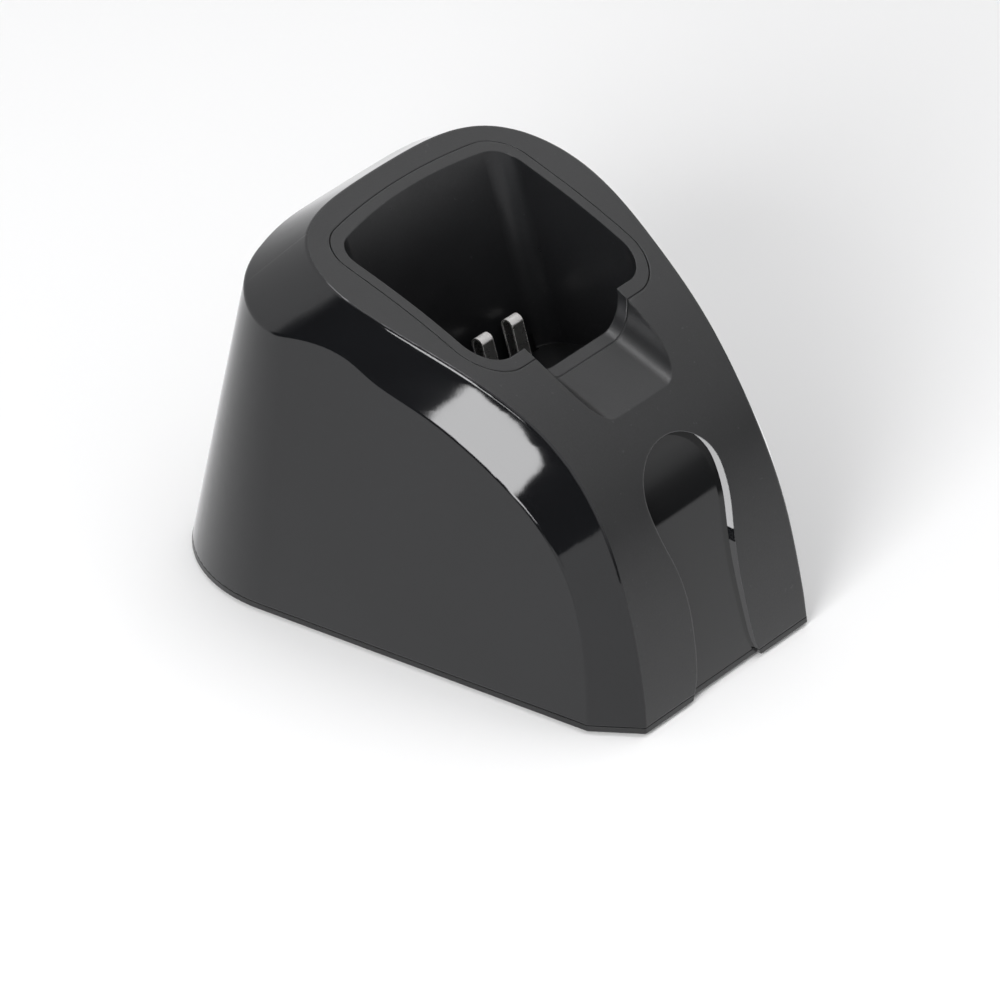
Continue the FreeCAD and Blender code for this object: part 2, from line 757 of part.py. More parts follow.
# ---------------------------------------------------------------- screws
def screw(r, length, head_r, head_h):
    """cross-recessed pan head screw, head below z = 0, shank up"""
    tip = 1.2
    shape = Part.makeCylinder(r, length - tip, Vec(0, 0, 0))
    shape = shape.fuse(Part.makeCone(r, 0.45 * r, tip, Vec(0, 0, length - tip)))
    head = Part.makeCylinder(head_r, head_h, Vec(0, 0, -head_h))
    head = head.makeFillet(0.45 * head_h, bottom_rim(head, -head_h))
    shape = shape.fuse(head).removeSplitter()
    slot_hl, slot_hw = 0.72 * head_r, 0.22 * head_r
    for angle in (0, 90):
        slot = box(-slot_hl, slot_hl, -slot_hw, slot_hw, -head_h - 1, -head_h * 0.42)
        slot.rotate(Vec(0, 0, 0), Vec(0, 0, 1), angle)
        shape = shape.cut(slot)
    return shape


def placed(shape, x, y, z, flip=False):
    copy = shape.copy()
    if flip:
        copy.rotate(Vec(0, 0, 0), Vec(1, 0, 0), 180)
    copy.translate(Vec(x, y, z))
    return copy


def screw_pairs(shape, places, flip=False):
    """copies at the (x, y, z) places and at -x"""
    return Part.makeCompound([placed(shape, side * x, y, z, flip)
                              for x, y, z in places for side in (1, -1)])


# ---------------------------------------------------------------- contacts and carrier
def make_carrier():
    block_top = floor_w - cup_wall - carrier_gap
    carrier = box(0.5, 21.5, -1.5, 9.0, 34.0, block_top)
    carrier = carrier.fuse(box(-7.0, 28.4, 0.2, 7.8,
                               carrier_flange_w, carrier_boss_w - carrier_gap))
    v1 = contact_v + well_hv
    cuts = []
    for x in contact_x:
        x0, x1 = x - well_hw, x + well_hw
        cuts.append(box(x0, x1, contact_v - well_hv, v1, 41.0, 45.0))
        cuts.append(box(x0, x1, 0.6, v1, 36.5, 41.8))
        cuts.append(box(x - 1.2, x + 1.2, 5.2, v1, 33.0, 37.0))
    for x, v in carrier_screw_xv:
        cuts.append(cyl(1.5, x, v, 36.0, 41.0))
    cuts.append(box(9.2, 12.8, -2.0, 9.5, 33.0, 41.0))    # relief between the two wells
    return to_body(carrier.cut(joined(cuts)))


def make_contact(x):
    """bent strip: foot, front leg, rounded hump, rear leg and a tail with a hole"""
    half_w = contact_width / 2
    r_in, r_out = contact_half - contact_t / 2, contact_half + contact_t / 2
    arc_w = contact_top_w - r_out
    leg_w, foot_w, foot_l = 38.6, 41.3, 1.9
    front_out, front_in = contact_v - r_out, contact_v - r_in
    rear_in, rear_out = contact_v + r_in, contact_v + r_out

    def place(v, w):
        return Vec(x - half_w, v, w)

    edges = path(place(rear_out, leg_w), place(rear_out, arc_w),
                 (place(contact_v, contact_top_w), place(front_out, arc_w)),
                 place(front_out, foot_w + contact_t),
                 place(front_out - foot_l, foot_w + contact_t),
                 place(front_out - foot_l, foot_w),
                 place(front_in, foot_w), place(front_in, arc_w),
                 (place(contact_v, arc_w + r_in), place(rear_in, arc_w)),
                 place(rear_in, leg_w), place(rear_out, leg_w))
    strip = Part.Face(Part.Wire(edges)).extrude(Vec(2 * half_w, 0, 0))
    tail = box(x - 0.9, x + 0.9, rear_in, rear_out, 30.5, 38.8)
    tail = tail.cut(Part.makeCylinder(0.5, 3.0, Vec(x, contact_v, 31.8), Vec(0, 1, 0)))
    return to_body(strip.fuse(tail).removeSplitter())


# ---------------------------------------------------------------- circuit board and its parts
def on_board(shape, x, y):
    shape.translate(Vec(x, y, lift))
    return shape


def make_board():
    board = mid_box(board_hw, board_y0, board_y1, board_z, board_top)
    board = board.makeFillet(board_corner_r, upright_edges(board, board_t))
    return board.cut(joined(posts(board_screw_xy, 1.2, board_z - 1, board_top + 1)))


def make_jack():
    axis_z = lift + 6.0
    jack = mid_box(jack_hw, jack_face_y - jack_l, jack_face_y, lift, lift + jack_h)
    jack = jack.makeFillet(0.6, [e for e in jack.Edges if e.BoundBox.YLength > 10])
    bore = Part.makeCylinder(3.1, 10.0, Vec(0, jack_face_y + 0.1, axis_z), Vec(0, -1, 0))
    pin = Part.makeCylinder(1.0, 9.2, Vec(0, jack_face_y - 9.9, axis_z), Vec(0, 1, 0))
    return jack.cut(bore).fuse(pin)


def make_chip():
    chip = mid_box(1.95, -2.45, 2.45, 0.15, 1.6)
    chip = chip.makeChamfer(0.25, top_edges(chip))
    pitch, half_w = 1.27, 0.2
    # shoulder, drop and toe of a leg (near x, far x, z0, z1)
    leg_parts = ((1.8, 2.6, 0.75, 0.95), (2.4, 2.6, 0.0, 0.95), (2.4, 3.1, 0.0, 0.2))
    legs = []
    for i in range(4):
        y = (i - 1.5) * pitch
        for side in (1, -1):
            for near, far, z0, z1 in leg_parts:
                x0, x1 = sorted((side * near, side * far))
                legs.append(box(x0, x1, y - half_w, y + half_w, z0, z1))
    return on_board(chip.fuse(legs).removeSplitter(), -8.0, 35.0)


def make_transistor():
    case = mid_box(3.3, -3.0, 3.0, 0.05, 2.3)
    case = case.makeChamfer(0.4, top_edges(case))
    leads = [mid_box(2.6, 2.5, 4.6, 0.0, 0.5),
             box(-2.9, -1.9, -6.0, -2.8, 0.0, 0.5),
             box(1.9, 2.9, -6.0, -2.8, 0.0, 0.5)]
    return on_board(case.fuse(leads).removeSplitter(), 7.5, 33.5)


def make_diode():
    case = mid_box(2.3, -1.8, 1.8, 0.1, 2.2)
    case = case.makeChamfer(0.3, top_edges(case))
    leads = [box(-3.2, -2.0, -0.9, 0.9, 0.0, 1.0), box(2.0, 3.2, -0.9, 0.9, 0.0, 1.0)]
    return on_board(case.fuse(leads).removeSplitter(), -9.5, 60.0)


def make_inductor():
    half, height, groove = 5.0, 5.0, 0.6
    case = mid_box(half, -half, half, 0.0, height)
    case = case.makeFillet(2.2, upright_edges(case, height))
    ring = cyl(4.3, 0, 0, 4.5, 4.5 + groove).cut(cyl(3.2, 0, 0, 4.5, 4.5 + groove))
    return on_board(case.cut(ring), 11.0, 47.0)


def make_electrolytic():
    can = Part.makeCylinder(4.0, 11.0, Vec(0, 0, 0.6))
    can = can.makeFillet(0.5, top_edges(can))
    can = can.cut(Part.makeTorus(4.6, 0.9, Vec(0, 0, 2.4)))
    can = can.fuse(mid_box(4.2, -4.2, 4.2, 0.0, 1.0)).removeSplitter()
    return on_board(can, -10.0, 47.5)


def small_chips(height, places):
    """blocks at (x, y, turn in degrees)"""
    chips = []
    for x, y, angle in places:
        chip = mid_box(1.0, -0.62, 0.62, 0.0, height)
        chip.rotate(Vec(0, 0, 0), Vec(0, 0, 1), angle)
        chips.append(on_board(chip, x, y))
    return Part.makeCompound(chips)


# ---------------------------------------------------------------- status light and wires
def make_led():
    dome_depth = 4.8
    led = led_cyl(led_r, 2.9, dome_depth).fuse(Part.makeSphere(led_r, on_led_axis(dome_depth)))
    led = led.fuse(led_cyl(1.9, 0.9, 7.65))
    for side in (1, -1):
        led = led.fuse(led_cyl(0.25, 5.5, 8.4, side * led_lead_x))
    return led.removeSplitter()


def cable(points, r):
    curve = spline(points)
    start = curve.FirstParameter
    ring = Part.Wire(Part.makeCircle(r, curve.value(start), curve.tangent(start)[0]))
    return Part.Wire(curve.toShape()).makePipeShell([ring], True, True)


def make_led_leads():
    """two cables from the light back and down to the board"""
    return Part.makeCompound([
        cable([on_led_axis(14.1, side * led_lead_x), on_led_axis(18.5, side * 1.6),
               (side * 2.2, -14.0, 22.0), (side * 2.0, 6.0, 13.5), (side * 2.0, 20.0, 13.0),
               (side * 2.6, 24.8, 12.4), (side * 2.6, 25.8, board_top + 0.25)], 0.6)
        for side in (1, -1)])


def make_wire(x, board_x):
    """cable from behind a contact tail to the board"""
    r, gap = 0.65, 0.1
    v = contact_v + contact_half + contact_t / 2 + gap + r
    return cable([point_to_body(x, v, 33.0), point_to_body(x, v + 0.1, 30.0),
                  point_to_body(x + 0.5, v + 1.5, 26.0),
                  (board_x, 25.5, 17.0), (board_x, 26.4, 13.0),
                  (board_x, 26.4, board_top + 0.2)], r)


# ---------------------------------------------------------------- build and write
outer = make_outer()
housing = make_housing(outer)
write("upper_housing", housing)
write("pocket_cup", make_cup())
write("front_window", make_window())
write("base_plate", make_base(outer, housing))

for tag, (x, y) in zip(("front", "rear"), foot_xy):
    foot = make_foot(x, y)
    write("rubber_foot_" + tag + "_right", foot)
    write("rubber_foot_" + tag + "_left", mirrored(foot))

housing_screw = screw(r=1.42, length=12.0, head_r=3.0, head_h=2.1)
write("housing_screws",
      screw_pairs(housing_screw, [(x, y, housing_seat_z) for x, y in housing_screw_xy]))
cup_screw = screw(r=1.22, length=10.0, head_r=2.5, head_h=1.8)
write("cup_screws", screw_pairs(cup_screw, cup_screws))
board_screw = screw(r=1.07, length=6.5, head_r=2.2, head_h=1.5)
write("board_screws",
      screw_pairs(board_screw, [(x, y, board_top) for x, y in board_screw_xy], flip=True))
carrier_screw = screw(r=1.22, length=6.4, head_r=2.3, head_h=1.5)
write("carrier_screws", Part.makeCompound(
    [to_body(placed(carrier_screw, x, v, carrier_flange_w)) for x, v in carrier_screw_xv]))

write("contact_carrier", make_carrier())
for x, board_x, tag in zip(contact_x, (9.0, 13.5), ("negative", "positive")):
    write("charge_contact_" + tag, make_contact(x))
    write("wire_" + tag, make_wire(x, board_x))

write("circuit_board", make_board())
write("dc_power_jack", make_jack())
write("charge_controller_chip", make_chip())
write("power_transistor", make_transistor())
write("rectifier_diode", make_diode())
write("power_inductor", make_inductor())
write("electrolytic_capacitor", make_electrolytic())
write("chip_resistors", small_chips(0.5, [
    (-13.5, 33.0, 90), (-13.5, 37.0, 90), (-3.0, 33.0, 90), (-3.0, 37.0, 90),
    (-8.0, 29.5, 0), (1.0, 45.0, 0)]))
write("chip_capacitors", small_chips(0.95, [
    (-8.0, 40.5, 0), (0.5, 39.0, 90), (14.5, 37.5, 90), (1.0, 49.5, 0)]))
write("status_led", make_led())
write("led_leads", make_led_leads())
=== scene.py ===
"""Looks, stage, lights and camera for a black moulded housing with a pocket cup.

The product stands on z = 0 with its front towards -Y, its left towards -X and +Z up.
The deck leans towards the front, and a keyhole-shaped recess is cut in the front.
Azimuths are in degrees, 0 in front of the product and negative to its left. Elevations
are in degrees above the horizon.
"""
import bpy
import json
import math
import numpy as np
from mathutils import Vector, Matrix
from mathutils.bvhtree import BVHTree


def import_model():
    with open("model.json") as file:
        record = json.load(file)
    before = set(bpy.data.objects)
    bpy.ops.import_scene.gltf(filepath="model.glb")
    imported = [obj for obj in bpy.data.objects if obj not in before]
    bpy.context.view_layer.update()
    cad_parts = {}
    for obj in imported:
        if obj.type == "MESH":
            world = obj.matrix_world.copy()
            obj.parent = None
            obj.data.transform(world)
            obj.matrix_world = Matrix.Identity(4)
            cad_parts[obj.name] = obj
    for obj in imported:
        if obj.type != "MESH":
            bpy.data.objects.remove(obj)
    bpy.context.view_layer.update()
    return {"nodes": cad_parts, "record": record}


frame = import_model()
NODES = frame["nodes"]
SLOT = {part["node"]: part["material_slot"] for part in frame["record"]["subparts"]}

scene = bpy.context.scene
scene.view_settings.view_transform = "Standard"
scene.view_settings.look = "None"
scene.view_settings.exposure = 0.0
scene.view_settings.gamma = 1.0

MM = 0.001
NOISE_SPAN = (0.3, 0.7)     # where most values of a noise texture fall
FALLING = (1.0, 0.0)        # output range of a mask that fades out
NODES_PER_ROW = 9


# ----------------------------------------------------------------------------
# shader graphs
# ----------------------------------------------------------------------------
class Graph:
    """Node network of a material or a world; most methods add a node and return its output"""

    def __init__(self, name, world=False):
        library = bpy.data.worlds if world else bpy.data.materials
        self.owner = library.new(name)
        self.owner.use_nodes = True
        self.tree = self.owner.node_tree
        self.tree.nodes.clear()

    def node(self, kind, **settings):
        row, column = divmod(len(self.tree.nodes), NODES_PER_ROW)
        node = self.tree.nodes.new(kind)
        node.location = (-200 * column, -180 * row)
        for key, value in settings.items():
            setattr(node, key, value)
        return node

    def put(self, socket, value):
        """link a socket, or set a constant; colours given as RGB get an alpha of 1"""
        if isinstance(value, bpy.types.NodeSocket):
            self.tree.links.new(value, socket)
        elif isinstance(value, tuple) and len(value) == 3 and len(socket.default_value) == 4:
            socket.default_value = (*value, 1.0)
        else:
            socket.default_value = value

    def coords(self):
        return self.node("ShaderNodeTexCoord").outputs["Object"]

    def stretched(self, scale, rotation=(0.0, 0.0, 0.0)):
        """object coordinates, scaled and turned"""
        node = self.node("ShaderNodeMapping")
        self.put(node.inputs["Vector"], self.coords())
        node.inputs["Scale"].default_value = scale
        node.inputs["Rotation"].default_value = rotation
        return node.outputs[0]

    def split(self, vector):
        node = self.node("ShaderNodeSeparateXYZ")
        self.put(node.inputs[0], vector)
        return tuple(node.outputs)

    def join(self, *values):
        node = self.node("ShaderNodeCombineXYZ")
        for socket, value in zip(node.inputs, values):
            self.put(socket, value)
        return node.outputs[0]

    def noise(self, scale, detail=2.0, rough=0.5, vector=None, distortion=0.0):
        node = self.node("ShaderNodeTexNoise")
        self.put(node.inputs["Vector"], self.coords() if vector is None else vector)
        node.inputs["Scale"].default_value = scale
        node.inputs["Detail"].default_value = detail
        node.inputs["Roughness"].default_value = rough
        node.inputs["Distortion"].default_value = distortion
        return node.outputs["Fac"]

    def voronoi(self, scale, feature="F1"):
        node = self.node("ShaderNodeTexVoronoi", feature=feature)
        self.put(node.inputs["Vector"], self.coords())
        node.inputs["Scale"].default_value = scale
        return node.outputs["Distance"]

    def math(self, operation, *values):
        node = self.node("ShaderNodeMath", operation=operation)
        for socket, value in zip(node.inputs, values):
            self.put(socket, value)
        return node.outputs[0]

    def add(self, first, second):
        return self.math("ADD", first, second)

    def subtract(self, first, second):
        return self.math("SUBTRACT", first, second)

    def multiply(self, first, second):
        return self.math("MULTIPLY", first, second)

    def maximum(self, first, second):
        return self.math("MAXIMUM", first, second)

    def vector(self, operation, *values):
        node = self.node("ShaderNodeVectorMath", operation=operation)
        for socket, value in zip(node.inputs, values):
            self.put(socket, value)
        return node.outputs["Value" if operation == "DOT_PRODUCT" else 0]

    def ramp(self, value, across=NOISE_SPAN, to=(0.0, 1.0), smooth=False):
        """map the span `across` to the span `to`, held constant outside it"""
        kind = "SMOOTHSTEP" if smooth else "LINEAR"
        node = self.node("ShaderNodeMapRange", interpolation_type=kind)
        for index, setting in enumerate((value, *across, *to)):
            self.put(node.inputs[index], setting)
        return node.outputs[0]

    def curve(self, value, points):
        """piecewise-linear function through points (input rising, output)"""
        node = self.node("ShaderNodeFloatCurve")
        start, end = points[0][0], points[-1][0]
        outputs = [point[1] for point in points]
        low, high = min(outputs), max(outputs)
        line = node.mapping.curves[0]
        places = [((x - start) / (end - start), (y - low) / (high - low)) for x, y in points]
        line.points[0].location = places[0]
        line.points[-1].location = places[-1]
        for place in places[1:-1]:
            line.points.new(*place)
        for point in line.points:
            point.handle_type = "VECTOR"
        node.mapping.update()
        self.put(node.inputs["Value"], self.ramp(value, across=(start, end)))
        return self.ramp(node.outputs[0], across=(0.0, 1.0), to=(low, high))

    def blend(self, kind, first_input, output, mask, under, over):
        node = self.node("ShaderNodeMix", data_type=kind)
        self.put(node.inputs[0], mask)
        self.put(node.inputs[first_input], under)
        self.put(node.inputs[first_input + 1], over)
        return node.outputs[output]

    def mix(self, mask, under, over):
        """mix two colours"""
        return self.blend("RGBA", 6, 2, mask, under, over)

    def mix_value(self, mask, under, over):
        return self.blend("FLOAT", 2, 0, mask, under, over)

    def mix_vector(self, mask, under, over):
        return self.blend("VECTOR", 4, 1, mask, under, over)

    def mix_shader(self, mask, under, over):
        node = self.node("ShaderNodeMixShader")
        for socket, value in zip(node.inputs, (mask, under, over)):
            self.put(socket, value)
        return node.outputs[0]

    def mottle(self, noise, dark, light):
        """colour that drifts between two tones"""
        return self.mix(self.ramp(noise), dark, light)

    def bump(self, height, distance, strength=1.0, normal=None):
        node = self.node("ShaderNodeBump")
        self.put(node.inputs["Height"], height)
        node.inputs["Distance"].default_value = distance
        node.inputs["Strength"].default_value = strength
        if normal is not None:
            self.put(node.inputs["Normal"], normal)
        return node.outputs[0]

    def round_edges(self, radius, samples=4):
        node = self.node("ShaderNodeBevel", samples=samples)
        node.inputs["Radius"].default_value = radius
        return node.outputs[0]

    def edge_wear(self, radius, amount=1.0, samples=4):
        """0 on flat areas, up to `amount` along edges"""
        rounded = self.round_edges(radius, samples)
        flat = self.node("ShaderNodeNewGeometry").outputs["True Normal"]
        match = self.vector("DOT_PRODUCT", rounded, flat)
        return self.ramp(match, across=(0.96, 0.80), to=(0.0, amount))

    def principled(self, **settings):
        node = self.node("ShaderNodeBsdfPrincipled")
        for key, value in settings.items():
            self.put(node.inputs[key.replace("_", " ")], value)
        return node.outputs[0]

    def emission(self, colour):
        node = self.node("ShaderNodeEmission")
        self.put(node.inputs["Color"], colour)
        return node.outputs[0]

    def finish(self, shader, output="ShaderNodeOutputMaterial"):
        self.put(self.node(output).inputs["Surface"], shader)
        return self.owner


def tint(colour, factor):
    return tuple(channel * factor for channel in colour)


# ----------------------------------------------------------------------------
# plastics
# ----------------------------------------------------------------------------
# painted highlight on the lip of the front recess: within this distance of x = 0, and in front
# of this y
LIP_HALF_WIDTH = 0.0137
LIP_BACK = -0.0415

# parting line at the rear corners: vertical plane through a point, plan normal, limits
SEAM_X, SEAM_Y = 0.0391, 0.0388
SEAM_NORMAL_X, SEAM_NORMAL_Y = 0.662, -0.749
SEAM_INNER_X = 0.027
SEAM_BOTTOM = 0.0785
SEAM_FADE = (0.04 * MM, 0.13 * MM)

# recess flank: heights at which it turns, and its direction below, between and above
FLANK_TOP, FLANK_BOTTOM = 0.0324, 0.0296
FLANK_TURN = 0.0003         # half the height over which each turn happens
FLANK_LOW = (0.806, -0.565, 0.175)
FLANK_MID = (0.766, -0.514, 0.385)
FLANK_HIGH = (0.815, -0.410, 0.400)


def paint_lip_highlight(net, colour):
    """painted highlight: a pale colour along the rounded edge of the lip of the recess in the
    front, standing in for the light line that edge shows
    """
    x, y, _ = net.split(net.coords())
    central = net.math("LESS_THAN", net.math("ABSOLUTE", x), LIP_HALF_WIDTH)
    near = net.multiply(central, net.math("LESS_THAN", y, LIP_BACK))
    lip_highlight_mask = net.multiply(near, net.edge_wear(radius=0.32 * MM, samples=8))
    patchy = net.noise(scale=160.0, detail=3.0, rough=0.6)
    lip_highlight_mask = net.multiply(lip_highlight_mask, net.ramp(patchy, across=(0.3, 0.6), to=(0.55, 1.0)))
    # painted highlight: the lip is mixed towards a pale grey along its rounded edge, with
    # patchy strength
    return net.mix(lip_highlight_mask, colour, over=(0.115, 0.115, 0.118))


def textured_plastic(name, base, rough, edge, grain=5200.0, depth=0.02 * MM, wear=0.25,
                     lip=False):
    """spark-eroded plastic: fine even grain, slight tone drift, polished corners"""
    net = Graph(name)
    drift = net.noise(scale=28.0, detail=3.0, rough=0.55)
    fine = net.noise(scale=grain, rough=0.6)
    cells = net.noise(scale=grain * 0.38, rough=0.6)
    pits = net.voronoi(scale=grain * 0.62)
    colour = net.mottle(drift, dark=tint(base, 0.88), light=tint(base, 1.14))
    fine_mask = net.ramp(fine, across=(0.35, 0.7), to=(0.0, 0.35))
    colour = net.mix(fine_mask, colour, over=tint(base, 1.7))
    cell_mask = net.ramp(cells, across=(0.35, 0.65), to=(0.0, 0.4))
    colour = net.mix(cell_mask, colour, over=tint(base, 0.55))
    dots = net.noise(scale=900.0, detail=1.0)
    specks = net.ramp(dots, across=(0.735, 0.80), to=(0.0, 0.30))
    colour = net.mix(specks, colour, over=(0.055, 0.055, 0.058))
    worn = net.edge_wear(edge, wear)
    # painted highlight on the lip of the recess
    if lip:
        colour = paint_lip_highlight(net, colour)
    handling = net.noise(scale=110.0, detail=4.0, rough=0.6)
    gloss = net.ramp(handling, across=(0.25, 0.75), to=(rough - 0.03, rough + 0.04))
    gloss = net.add(gloss, net.ramp(cells, to=(-0.035, 0.035)))
    gloss = net.mix_value(worn, gloss, over=rough * 0.72)
    # weights of the three grain sizes in the relief
    height = net.add(net.multiply(fine, 0.45), net.multiply(pits, 0.45))
    height = net.add(height, net.multiply(cells, 0.9))
    normal = net.bump(height, depth, strength=0.7, normal=net.round_edges(edge, samples=6))
    return net.finish(net.principled(Base_Color=colour, Roughness=gloss, IOR=1.5,
                                     Specular_IOR_Level=0.5, Normal=normal))


def seam_line(net, colour, normal):
    """hairline parting line of the mould slides, across the bevel at each rear corner"""
    x, y, z = net.split(net.coords())
    outward = net.math("ABSOLUTE", x)
    distance = net.add(net.multiply(net.subtract(outward, SEAM_X), SEAM_NORMAL_X),
                       net.multiply(net.subtract(y, SEAM_Y), SEAM_NORMAL_Y))
    line = net.ramp(net.math("ABSOLUTE", distance), across=SEAM_FADE, to=FALLING, smooth=True)
    side = net.math("GREATER_THAN", outward, SEAM_INNER_X)
    high = net.math("GREATER_THAN", z, SEAM_BOTTOM)
    line = net.multiply(line, net.multiply(side, high))
    colour = net.mix(line, colour, over=(0.001, 0.001, 0.001))
    groove = net.subtract(1.0, line)
    return colour, net.bump(groove, distance=0.05 * MM, normal=normal)


def roll_flank(net, height, normal):
    """turn the flank of the recess over towards the deck; returns specular level and normal"""
    across = net.split(normal)[0]
    side_sign = net.math("SIGN", across)
    above_top, above_bottom = (
        net.ramp(height, across=(turn - FLANK_TURN, turn + FLANK_TURN), smooth=True)
        for turn in (FLANK_TOP, FLANK_BOTTOM))
    specular = net.mix_value(above_bottom, under=1.0, over=0.5)
    lean = [net.mix_value(above_top, net.mix_value(above_bottom, low, middle), high)
            for low, middle, high in zip(FLANK_LOW, FLANK_MID, FLANK_HIGH)]
    lean[0] = net.multiply(lean[0], side_sign)
    ripples = net.vector("MULTIPLY", normal, (0.12, 0.12, 0.12))    # share of the real normal
    rolled = net.vector("ADD", net.join(*lean), ripples)
    sideways = net.ramp(net.math("ABSOLUTE", across), across=(0.15, 0.45))
    blended = net.mix_vector(sideways, normal, rolled)
    return specular, net.vector("NORMALIZE", blended)


def flank_glow_for_reflections(net, height, shader):
    """painted reflection: to glossy rays the flank glows with a set radiance, bright below
    about 39 mm and dimmer above, so that mirrored in the panel beside it, it shows painted
    light in place of the panel's own surroundings
    """
    glossy = net.node("ShaderNodeLightPath").outputs["Is Glossy Ray"]
    room = net.ramp(height, across=(0.0430, 0.0500), to=(0.10, 0.45))
    upper = net.ramp(height, across=(0.0385, 0.0400))
    radiance = net.mix_value(upper, under=0.88, over=room)
    # painted light: an emission that only glossy rays see
    return net.mix_shader(glossy, shader, net.emission(net.join(radiance, radiance, radiance)))


def polished_plastic(name, base, rough, edge=0.3 * MM, wave=0.010 * MM, ripple=0.0016 * MM,
                     seam=False, flank=False):
    """polished plastic: faint sink waves, handling haze, hairline scuffs"""
    net = Graph(name)
    drift = net.noise(scale=22.0, detail=3.0, rough=0.6)
    colour = net.mottle(drift, dark=tint(base, 0.85), light=tint(base, 1.18))
    haze = net.noise(scale=46.0, detail=5.0, rough=0.62, distortion=0.6)
    gloss = net.ramp(haze, across=(0.35, 0.75), to=(rough * 0.75, rough * 1.5))
    # scuffs are thin streaks of stretched noise, gathered in patches
    streaks = net.stretched(scale=(3000.0, 160.0, 2600.0), rotation=(0.3, 0.5, 0.9))
    scuff = net.ramp(net.noise(scale=1.0, vector=streaks), across=(0.70, 0.78))
    patches = net.ramp(net.noise(scale=35.0), across=(0.55, 0.68))
    scuff = net.multiply(scuff, patches)
    scuff_roughness = 0.10
    gloss = net.add(gloss, net.multiply(scuff, scuff_roughness))
    waves = net.noise(scale=95.0, detail=1.5, rough=0.45)
    ripples = net.noise(scale=700.0, rough=0.55)
    normal = net.bump(waves, distance=wave, normal=net.round_edges(edge))
    normal = net.bump(ripples, distance=ripple, normal=normal)
    specular = 0.5
    if seam:
        colour, normal = seam_line(net, colour, normal)
    if flank:
        height = net.split(net.coords())[2]
        specular, normal = roll_flank(net, height, normal)
    shader = net.principled(Base_Color=colour, Roughness=gloss, IOR=1.5,
                            Specular_IOR_Level=specular, Normal=normal)
    # painted reflection: the flank glows for glossy rays
    if flank:
        shader = flank_glow_for_reflections(net, height, shader)
    return net.finish(shader)


SATIN = (0.0085, 0.0087, 0.0092)
BLACK = (0.0046, 0.0048, 0.0054)
mat_deck = textured_plastic("housing_textured", SATIN, rough=0.34, edge=0.55 * MM, lip=True)
mat_gloss = polished_plastic("housing_polished", BLACK, rough=0.045, seam=True)
mat_flank = polished_plastic("recess_flank", BLACK, rough=0.09, edge=0.4 * MM,
                             wave=0.004 * MM, flank=True)
mat_inside = textured_plastic("housing_inside", base=(0.010, 0.010, 0.0105), rough=0.5,
                              grain=2600.0, depth=0.01 * MM, edge=0.2 * MM)
mat_cup = textured_plastic("cup_textured", SATIN, rough=0.36, edge=0.45 * MM)
mat_cup_wall = textured_plastic("cup_wall", base=(0.0088, 0.0090, 0.0098), rough=0.33,
                                grain=4200.0, depth=0.010 * MM, edge=0.45 * MM)
mat_window = polished_plastic("window_polished", base=(0.0052, 0.0054, 0.0058), rough=0.045,
                              edge=0.05 * MM, wave=0.006 * MM, ripple=0.0008 * MM)
mat_base = textured_plastic("base_textured", base=(0.0085, 0.0086, 0.009), rough=0.38,
                            grain=4000.0, edge=0.25 * MM)
mat_carrier = textured_plastic("carrier_moulded", base=(0.012, 0.012, 0.0125), rough=0.5,
                               grain=3000.0, edge=0.15 * MM)
mat_body = textured_plastic("component_moulded", base=(0.014, 0.014, 0.015), rough=0.5,
                            grain=6000.0, edge=0.1 * MM)


# ----------------------------------------------------------------------------
# rubber, metals, board and components
# ----------------------------------------------------------------------------
def rubber():
    """worn rubber with pale dust"""
    net = Graph("foot_rubber_worn")
    drift = net.noise(scale=260.0, detail=4.0, rough=0.6)
    colour = net.mottle(drift, dark=(0.011, 0.011, 0.011), light=(0.024, 0.023, 0.022))
    dust = net.ramp(net.noise(scale=1500.0), across=(0.66, 0.8), to=(0.0, 0.5))
    colour = net.mix(dust, colour, over=(0.10, 0.095, 0.09))
    gloss = net.ramp(drift, to=(0.72, 0.88))
    normal = net.bump(net.noise(scale=3800.0, detail=3.0, rough=0.6), distance=0.03 * MM,
                      strength=0.6, normal=net.round_edges(0.2 * MM))
    return net.finish(net.principled(Base_Color=colour, Roughness=gloss,
                                     Specular_IOR_Level=0.3, Normal=normal))


def metal_surface(net, rough, dark, brushed, edge):
    """tarnish mask, roughness and brushed normal of a metal"""
    stains = net.noise(scale=1300.0, detail=3.0, rough=0.6)
    tarnish = net.ramp(stains, across=(0.60, 0.75), to=(0.0, dark))
    smears = net.noise(scale=900.0, detail=3.0, rough=0.6)
    gloss = net.ramp(smears, across=(0.25, 0.75), to=(rough * 0.75, rough * 1.4))
    lines = net.noise(scale=1.0, vector=net.stretched(scale=(9000.0, 9000.0, 700.0)))
    normal = net.bump(lines, distance=0.004 * MM, strength=brushed,
                      normal=net.round_edges(edge, samples=6))
    return tarnish, gloss, normal


def zinc():
    net = Graph("screw_zinc")
    base = (0.46, 0.46, 0.48)
    drift = net.noise(scale=420.0, detail=4.0, rough=0.6)
    colour = net.mix(net.ramp(drift, across=(0.35, 0.75)), base, over=tint(base, 0.90))
    tarnish, gloss, normal = metal_surface(net, rough=0.32, dark=0.35, brushed=0.5,
                                           edge=0.10 * MM)
    colour = net.mix(tarnish, colour, over=tint(base, 0.45))
    return net.finish(net.principled(Base_Color=colour, Metallic=1.0, Roughness=gloss,
                                     Normal=normal))


